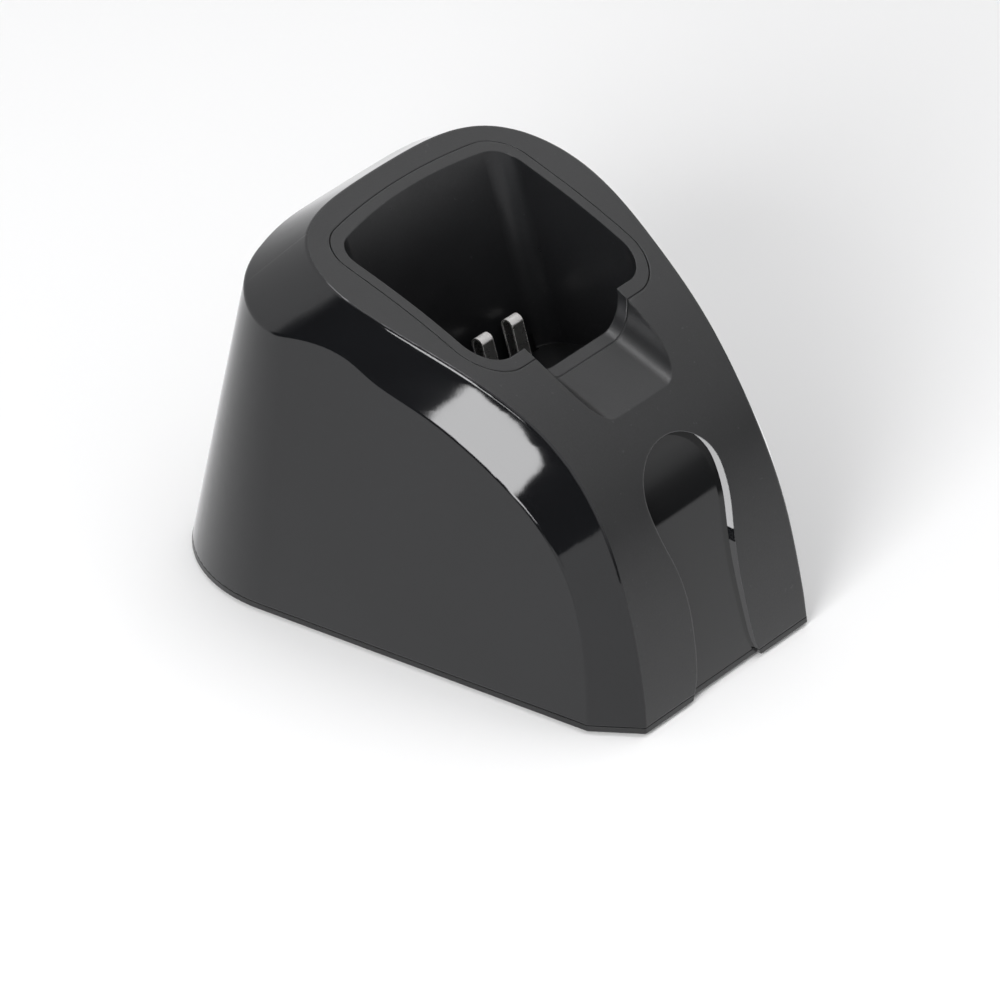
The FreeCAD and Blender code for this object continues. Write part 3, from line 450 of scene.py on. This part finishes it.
def nickel():
    """plating painted pale and near white as a highlight on the upward-facing end and along the
    edges, with faint tarnish stains there; darker metal on the flat faces
    """
    net = Graph("contact_nickel_plate")
    base = (0.88, 0.87, 0.85)
    rough = 0.28
    edge = 0.26 * MM
    tarnish, gloss, normal = metal_surface(net, rough, dark=0.04, brushed=0.12, edge=edge)
    geometry = net.node("ShaderNodeNewGeometry")
    upward = net.split(geometry.outputs["Normal"])[2]
    # painted highlight: faces that look upward are made pale
    upward_highlight = net.ramp(upward, across=(0.30, 0.55), smooth=True)
    match = net.vector("DOT_PRODUCT", net.round_edges(edge, samples=8),
                       geometry.outputs["True Normal"])
    # painted highlight: upward faces and the edges are mixed to a pale, barely metallic white,
    # while the flat faces keep a darker metal
    painted_highlight = net.maximum(upward_highlight, net.ramp(match, across=(0.985, 0.91)))
    pale = net.mix(tarnish, under=(0.98, 0.96, 0.94), over=tint(base, 0.8))
    colour = net.mix(painted_highlight, under=tint(base, 0.42), over=pale)
    metallic = net.mix_value(painted_highlight, under=0.86, over=0.05)
    gloss = net.mix_value(painted_highlight, gloss, over=rough)
    return net.finish(net.principled(Base_Color=colour, Metallic=metallic, Roughness=gloss,
                                     Normal=normal))


def circuit():
    """green solder resist over copper: tracks, pour edges, glass weave, tinned pads"""
    net = Graph("board_resist")
    x, y, _ = net.split(net.coords())
    cracks = net.voronoi(scale=230.0, feature="DISTANCE_TO_EDGE")
    tracks = net.ramp(cracks, across=(0.03, 0.05), to=FALLING)
    pours = net.ramp(net.noise(scale=60.0, detail=1.0, rough=0.4), across=(0.55, 0.56),
                     to=(0.0, 0.8))
    copper = net.maximum(tracks, pours)
    weave_pitch = 9000.0        # radians per metre
    weave = net.multiply(*(net.math("SINE", net.multiply(axis, weave_pitch))
                           for axis in (x, y)))
    colour = net.mix(copper, under=(0.006, 0.060, 0.022), over=(0.016, 0.120, 0.045))
    drift = net.ramp(net.noise(scale=90.0, detail=3.0), to=(0.0, 0.4))
    colour = net.mix(drift, colour, over=(0.010, 0.085, 0.030))
    pads = net.ramp(net.voronoi(scale=170.0), across=(0.10, 0.12), to=FALLING)
    colour = net.mix(pads, colour, over=(0.55, 0.53, 0.50))
    # weights of copper and weave in the relief
    height = net.add(net.multiply(copper, 1.0), net.multiply(weave, 0.12))
    normal = net.bump(height, distance=0.03 * MM, strength=0.7)
    resist_gloss = net.ramp(net.noise(scale=300.0), to=(0.24, 0.36))
    gloss = net.mix_value(pads, resist_gloss, over=0.35)
    return net.finish(net.principled(Base_Color=colour, Roughness=gloss, Metallic=pads,
                                     Normal=normal))


def ceramic(name, base):
    """fired body of a chip part"""
    net = Graph(name)
    drift = net.noise(scale=2500.0, detail=3.0, rough=0.6)
    colour = net.mottle(drift, dark=tint(base, 0.85), light=tint(base, 1.15))
    gloss = net.ramp(drift, to=(0.30, 0.50))
    normal = net.bump(net.noise(scale=9000.0), distance=0.01 * MM, strength=0.5,
                      normal=net.round_edges(0.08 * MM))
    return net.finish(net.principled(Base_Color=colour, Roughness=gloss, Normal=normal))


def can():
    """drawn aluminium with fine draw lines"""
    net = Graph("can_drawn")
    drift = net.noise(scale=600.0, detail=3.0, rough=0.6)
    colour = net.mottle(drift, dark=(0.60, 0.60, 0.61), light=(0.74, 0.74, 0.75))
    lines = net.noise(scale=1.0, vector=net.stretched(scale=(500.0, 500.0, 9000.0)))
    gloss = net.ramp(lines, to=(0.22, 0.38))
    normal = net.bump(lines, distance=0.004 * MM, strength=0.6,
                      normal=net.round_edges(0.15 * MM))
    return net.finish(net.principled(Base_Color=colour, Metallic=1.0, Roughness=gloss,
                                     Normal=normal))


def lens():
    """red, partly clear plastic"""
    net = Graph("led_diffused")
    drift = net.noise(scale=700.0, detail=3.0)
    colour = net.mottle(drift, dark=(0.42, 0.05, 0.035), light=(0.62, 0.10, 0.07))
    gloss = net.ramp(drift, to=(0.10, 0.22))
    normal = net.bump(net.noise(scale=5000.0), distance=0.005 * MM, strength=0.5)
    return net.finish(net.principled(Base_Color=colour, Roughness=gloss, IOR=1.53,
                                     Transmission_Weight=0.35, Normal=normal))


def sleeve(name, base):
    """extruded PVC insulation: soft sheen, faint relief"""
    net = Graph(name)
    drift = net.noise(scale=350.0, detail=3.0, rough=0.6)
    colour = net.mottle(drift, dark=tint(base, 0.82), light=tint(base, 1.18))
    gloss = net.ramp(net.noise(scale=900.0, detail=3.0, rough=0.6), to=(0.30, 0.46))
    normal = net.bump(net.noise(scale=5200.0), distance=0.012 * MM, strength=0.5)
    return net.finish(net.principled(Base_Color=colour, Roughness=gloss, Normal=normal))


BY_SLOT = {
    "cup": mat_cup,
    "window": mat_window,
    "base": mat_base,
    "foot_rubber": rubber(),
    "screw_steel": zinc(),
    "contact_nickel": nickel(),
    "carrier_plastic": mat_carrier,
    "board": circuit(),
    "component_black": mat_body,
    "inductor_ferrite": textured_plastic("ferrite", base=(0.045, 0.045, 0.048), rough=0.62,
                                         grain=7000.0, edge=0.15 * MM, wear=0.5),
    "can_aluminium": can(),
    "resistor_body": ceramic("resistor_glaze", base=(0.02, 0.02, 0.024)),
    "ceramic_body": ceramic("capacitor_ceramic", base=(0.36, 0.24, 0.14)),
    "led_lens": lens(),
    "lead_red": sleeve("sleeve_red", base=(0.42, 0.014, 0.012)),
    "lead_black": sleeve("sleeve_black", base=(0.014, 0.014, 0.014)),
    "lead_grey": sleeve("sleeve_grey", base=(0.20, 0.20, 0.21)),
}


# ----------------------------------------------------------------------------
# surface zones of the housing and the cup, found from the meshes
# ----------------------------------------------------------------------------
DECK, POLISHED, INSIDE, FLANK = range(4)        # material slots of the housing
CUP_LEVEL, CUP_WALL, CUP_OUTSIDE = range(3)     # material slots of the cup


def read_array(items, key, kind=float, width=1):
    values = np.zeros(len(items) * width, kind)
    items.foreach_get(key, values)
    return values.reshape(-1, width) if width > 1 else values


def face_labels(mesh):
    """label each polygon by its CAD face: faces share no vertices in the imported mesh"""
    corner_vertex = read_array(mesh.loops, "vertex_index", np.int64)
    start = read_array(mesh.polygons, "loop_start", np.int64)
    total = read_array(mesh.polygons, "loop_total", np.int64)
    corners = []                # (polygons that have this corner, their vertex there)
    for corner in range(int(total.max())):
        has = total > corner
        corners.append((has, corner_vertex[start[has] + corner]))
    first = corner_vertex[start]
    label = np.arange(len(mesh.vertices))
    # spread the lowest vertex number over each connected patch until nothing changes
    for _ in range(400):
        lowest = label[first].copy()
        for has, vertex in corners[1:]:
            lowest[has] = np.minimum(lowest[has], label[vertex])
        spread = label.copy()
        for has, vertex in corners:
            np.minimum.at(spread, vertex, lowest[has])
        spread = spread[spread]
        if (spread == label).all():
            break
        label = spread
    return label[first]


def cad_faces(mesh):
    """yield each CAD face: polygon mask, centres, areas and normals"""
    labels = face_labels(mesh)
    centres = read_array(mesh.polygons, "center", width=3)
    areas = read_array(mesh.polygons, "area")
    normals = read_array(mesh.polygons, "normal", width=3)
    for label in np.unique(labels):
        member = labels == label
        yield member, centres[member], areas[member], normals[member]


def open_share(tree, centres, normals, reach=0.25, samples=24, lift=2e-5):
    """share of a face that looks into the open rather than at the same shell"""
    count = min(samples, len(centres))
    picked = np.linspace(0, len(centres) - 1, count).astype(int)
    free = 0
    for index in picked:
        normal = Vector(normals[index])
        origin = Vector(centres[index]) + normal * lift
        if tree.ray_cast(origin, normal, reach)[0] is None:
            free += 1
    return free / len(picked)


def housing_zones(mesh):
    tree = BVHTree.FromPolygons([vertex.co for vertex in mesh.vertices],
                                [tuple(polygon.vertices) for polygon in mesh.polygons])
    zones = np.full(len(mesh.polygons), INSIDE)
    for member, centres, areas, normals in cad_faces(mesh):
        low, high = centres.min(0), centres.max(0)
        size = high - low
        half_width = abs(centres[:, 0]).max()
        area = areas.sum()
        is_open = open_share(tree, centres, normals) > 0.6
        sideways = (np.abs(normals[:, 0]) * areas).sum()
        if is_open and area > 1.0e-3 and sideways < 0.03 * area and normals[:, 1].mean() < -0.1:
            zones[member] = DECK            # large, leaning to the front
        elif (low[2] > 0.055 and size[0] < 0.062 and half_width < 0.031
              and low[1] > -0.045 and high[1] < 0.034):
            zones[member] = DECK            # thumb notch, pocket opening
        elif is_open and (high[2] > 0.02 or size[0] > 0.05) and area > 2e-5:
            zones[member] = POLISHED        # outside
        elif half_width < 0.0135 and high[1] < -0.035 and size[2] > 0.04 and area < 6e-4:
            zones[member] = FLANK           # flank of the keyhole recess
    return zones


def cup_zones(mesh):
    zones = np.full(len(mesh.polygons), CUP_OUTSIDE)
    for member, centres, areas, normals in cad_faces(mesh):
        facing = (normals * areas[:, None]).sum(0)
        facing /= np.linalg.norm(facing) + 1e-12
        if facing[2] > 0.85:
            zones[member] = CUP_LEVEL       # rim, floor
        elif abs(centres[:, 0]).max() < 0.0275 and centres[:, 2].min() > 0.03:
            zones[member] = CUP_WALL
    return zones


def assign(mesh, materials, zones):
    mesh.materials.clear()
    for material in materials:
        mesh.materials.append(material)
    mesh.polygons.foreach_set("material_index", np.asarray(zones, np.int32))
    mesh.update()


for name, piece in NODES.items():
    piece.data.materials.clear()
    piece.data.materials.append(BY_SLOT.get(SLOT.get(name), mat_body))

housing = NODES["upper_housing"].data
assign(housing, [mat_deck, mat_gloss, mat_inside, mat_flank], housing_zones(housing))
cup = NODES["pocket_cup"].data
assign(cup, [mat_cup, mat_cup_wall, mat_inside], cup_zones(cup))


# ----------------------------------------------------------------------------
# stage: floor, lights, world
# ----------------------------------------------------------------------------
# radiances seen in the polished faces
PAPER = 1.02
SOFTBOX = 12.0
OVERHEAD = 8.0
BLUE_CAST = 1.01            # blue relative to red and green
AMBIENT = 0.62              # radiance of the world for all other rays
TABLE_FADE = (-0.3, 0.3)    # degrees across the table's edge
SOFTBOX_FADE = (-0.4, 0.4)  # degrees across the softbox's sides

# azimuth, elevation at which the white table ends as seen from the product
TABLE_EDGE = [
    (-180.0, 0.0), (-129.0, 0.0), (-127.0, -26.4), (-97.0, -26.4), (-92.0, -17.0),
    (-88.0, -12.0), (-84.0, -10.0), (-80.0, -8.0), (-76.0, -5.5), (-70.0, -3.5),
    (-64.0, -2.0), (-58.5, 0.0), (-57.0, 1.0), (-54.5, 7.5), (-50.0, 8.0), (-40.0, 4.0),
    (-20.0, 2.0), (0.0, 2.2), (30.0, 2.9), (50.0, 2.9), (90.0, 1.5), (180.0, 0.0)]

# azimuth, strength of the backdrop at its left end
BACKDROP_LEFT = [(-180.0, 1.0), (-132.0, 1.0), (-125.0, 0.92), (-122.5, 0.55),
                 (-120.0, 0.16), (-117.0, 0.0), (180.0, 0.0)]

# elevation, radiance of the room in front
ROOM = [(-90.0, 0.0), (1.0, 0.0), (3.0, 0.05), (7.0, 0.12), (9.0, 0.25), (12.5, 0.6),
        (17.0, 0.85), (30.0, 1.0), (90.0, 1.0)]

# elevation, azimuth of the two sides of the softbox on the left
SOFTBOX_HIGH_SIDE = [
    (-30.0, -95.5), (-10.0, -91.5), (-7.0, -89.0), (-5.0, -87.0), (-3.0, -85.0),
    (-1.0, -81.0), (0.0, -78.0), (2.0, -74.5), (4.0, -73.2), (7.0, -72.3), (10.0, -71.8),
    (15.0, -70.3), (40.0, -69.0), (90.0, -69.0)]
SOFTBOX_LOW_SIDE = [(-30.0, -88.0), (-5.0, -88.0), (2.0, -88.4), (8.0, -89.2),
                    (16.0, -90.0), (90.0, -90.0)]

FLOOR_CELLS = 48
FLOOR_HALF = 3.2


def view_angles(net, geometry):
    """azimuth and elevation of the ray's direction, in degrees"""
    direction = net.vector("MULTIPLY", geometry.outputs["Incoming"], (-1.0, -1.0, -1.0))
    x, y, z = net.split(direction)
    azimuth = net.math("ARCTAN2", x, net.multiply(y, -1.0))
    elevation = net.math("ARCSINE", z)
    to_degrees = 180.0 / math.pi
    return net.multiply(azimuth, to_degrees), net.multiply(elevation, to_degrees)


def past_table(net, azimuth, elevation, to=(0.0, 1.0)):
    """fade between table and studio across the table's edge"""
    above = net.subtract(elevation, net.curve(azimuth, TABLE_EDGE))
    return net.ramp(above, across=TABLE_FADE, to=to)


def floor_paper():
    net = Graph("studio_floor_paper")
    drift = net.noise(scale=3.0, detail=3.0)
    colour = net.mottle(drift, dark=(0.86, 0.86, 0.86), light=(0.88, 0.88, 0.88))
    normal = net.bump(net.noise(scale=900.0), distance=0.02 * MM, strength=0.15)
    paper = net.principled(Base_Color=colour, Roughness=0.85, Specular_IOR_Level=0.15,
                           Normal=normal)
    # reflections see the paper only up to its edge; beyond it they see the studio
    geometry = net.node("ShaderNodeNewGeometry")
    beyond = past_table(net, *view_angles(net, geometry))
    rays = net.node("ShaderNodeLightPath").outputs
    clear = net.multiply(beyond, rays["Is Glossy Ray"])
    # seen from below, the floor does not hide the underside
    below = net.multiply(geometry.outputs["Backfacing"], rays["Is Camera Ray"])
    clear = net.maximum(clear, below)
    even = net.emission((PAPER, PAPER, PAPER * BLUE_CAST))
    sheet = net.mix_shader(rays["Is Glossy Ray"], paper, even)
    nothing = net.node("ShaderNodeBsdfTransparent").outputs[0]
    return net.finish(net.mix_shader(clear, sheet, nothing))


def floor():
    ticks = [(i / FLOOR_CELLS - 0.5) * 2 * FLOOR_HALF for i in range(FLOOR_CELLS + 1)]
    vertices = [(x, y, 0.0) for y in ticks for x in ticks]
    row = FLOOR_CELLS + 1
    corners = [j * row + i for j in range(FLOOR_CELLS) for i in range(FLOOR_CELLS)]
    faces = [(q, q + 1, q + row + 1, q + row) for q in corners]
    mesh = bpy.data.meshes.new("studio_floor")
    mesh.from_pydata(vertices, [], faces)
    sheet = bpy.data.objects.new("studio_floor", mesh)
    scene.collection.objects.link(sheet)
    mesh.materials.append(floor_paper())


def direction_to(azimuth, elevation):
    """unit vector for angles in radians"""
    return Vector((math.sin(azimuth) * math.cos(elevation),
                   -math.cos(azimuth) * math.cos(elevation), math.sin(elevation)))


def softbox(name, azimuth, elevation, width, height, radiance, distance=1.3,
            target=(0, 0, 0.045)):
    """rectangular light of a given radiance, facing the target, hidden from reflections"""
    outward = direction_to(math.radians(azimuth), math.radians(elevation))
    light = bpy.data.lights.new(name, "AREA")
    light.shape = "RECTANGLE"
    light.size = width
    light.size_y = height
    light.energy = radiance * math.pi * width * height
    lamp = bpy.data.objects.new(name, light)
    scene.collection.objects.link(lamp)
    lamp.location = Vector(target) + outward * distance
    lamp.rotation_mode = "QUATERNION"
    lamp.rotation_quaternion = (-outward).to_track_quat("-Z", "Y")
    lamp.visible_glossy = False
    lamp.visible_camera = False


def band(net, value, rise, fall):
    """smooth mask that is 1 between the rise and the fall"""
    return net.multiply(net.ramp(value, across=rise, smooth=True),
                        net.ramp(value, across=fall, to=FALLING, smooth=True))


def world():
    """studio seen in reflections; every other ray gets an even ambient"""
    net = Graph("studio_world", world=True)
    azimuth, elevation = view_angles(net, net.node("ShaderNodeNewGeometry"))
    # white backdrop behind, fading out on the right and on the left
    right = net.ramp(azimuth, across=(70.0, 100.0), smooth=True)
    backdrop = net.maximum(right, net.curve(azimuth, BACKDROP_LEFT))
    studio = net.ramp(backdrop, across=(0.0, 1.0), to=(0.015, 1.05))
    # room in front: dim just above the table, lighter higher up
    rise = net.ramp(azimuth, across=(-52.0, -40.0), smooth=True)
    ahead = net.multiply(rise, net.ramp(azimuth, across=(100.0, 112.0), to=FALLING))
    room = net.multiply(net.curve(elevation, ROOM), ahead)
    studio = net.maximum(studio, room)
    # paper up to the table's edge
    studio = net.maximum(studio, past_table(net, azimuth, elevation, to=(PAPER, 0.0)))
    # strip light high up, from the right round to behind
    strip = net.multiply(band(net, elevation, rise=(67.5, 70.0), fall=(75.5, 78.0)),
                         band(net, azimuth, rise=(40.0, 60.0), fall=(165.0, 179.0)))
    studio = net.maximum(studio, net.multiply(strip, OVERHEAD))
    # ceiling bounce behind and to the right
    ceiling = net.ramp(elevation, across=(28.0, 44.0), to=(0.0, 1.05), smooth=True)
    bounce = net.multiply(ceiling, net.ramp(azimuth, across=(50.0, 90.0), smooth=True))
    studio = net.maximum(studio, bounce)
    # softbox on the left
    high_side = net.curve(elevation, SOFTBOX_HIGH_SIDE)
    low_side = net.curve(elevation, SOFTBOX_LOW_SIDE)
    lit = net.multiply(net.ramp(net.subtract(azimuth, low_side), across=SOFTBOX_FADE),
                       net.ramp(net.subtract(high_side, azimuth), across=SOFTBOX_FADE))
    lit = net.multiply(lit, net.ramp(elevation, across=(34.0, 38.0), to=FALLING))
    studio = net.maximum(studio, net.multiply(lit, SOFTBOX))
    glossy = net.node("ShaderNodeLightPath").outputs["Is Glossy Ray"]
    radiance = net.mix_value(glossy, AMBIENT, studio)
    background = net.node("ShaderNodeBackground")
    colour = net.join(radiance, radiance, net.multiply(radiance, BLUE_CAST))
    net.put(background.inputs["Color"], colour)
    scene.world = net.finish(background.outputs[0], output="ShaderNodeOutputWorld")


def camera(azimuth, elevation, target, distance, shift_right, shift_up):
    """long lens looking along the given angles; the shifts slide it across its view"""
    azimuth, elevation = math.radians(azimuth), math.radians(elevation)
    back = direction_to(azimuth, elevation)
    right = Vector((math.cos(azimuth), math.sin(azimuth), 0.0))
    up = back.cross(right)
    optics = bpy.data.cameras.new("camera")
    optics.lens = 324.0
    optics.sensor_width = 36.0
    optics.clip_start = 0.05
    optics.clip_end = 20.0
    viewer = bpy.data.objects.new("camera", optics)
    scene.collection.objects.link(viewer)
    viewer.location = Vector(target) + back * distance + right * shift_right + up * shift_up
    viewer.rotation_mode = "QUATERNION"
    viewer.rotation_quaternion = Matrix((right, up, back)).transposed().to_quaternion()
    scene.camera = viewer


floor()
softbox("key_softbox", azimuth=-75.0, elevation=24.0, width=0.62, height=0.72, radiance=12.0)
softbox("top_softbox", azimuth=60.0, elevation=78.0, width=0.9, height=0.7, radiance=2.2)
world()
camera(azimuth=-49.0459, elevation=35.0, target=(0.0, -0.0115, 0.001), distance=2.0,
       shift_right=-0.0081362, shift_up=0.0180935)
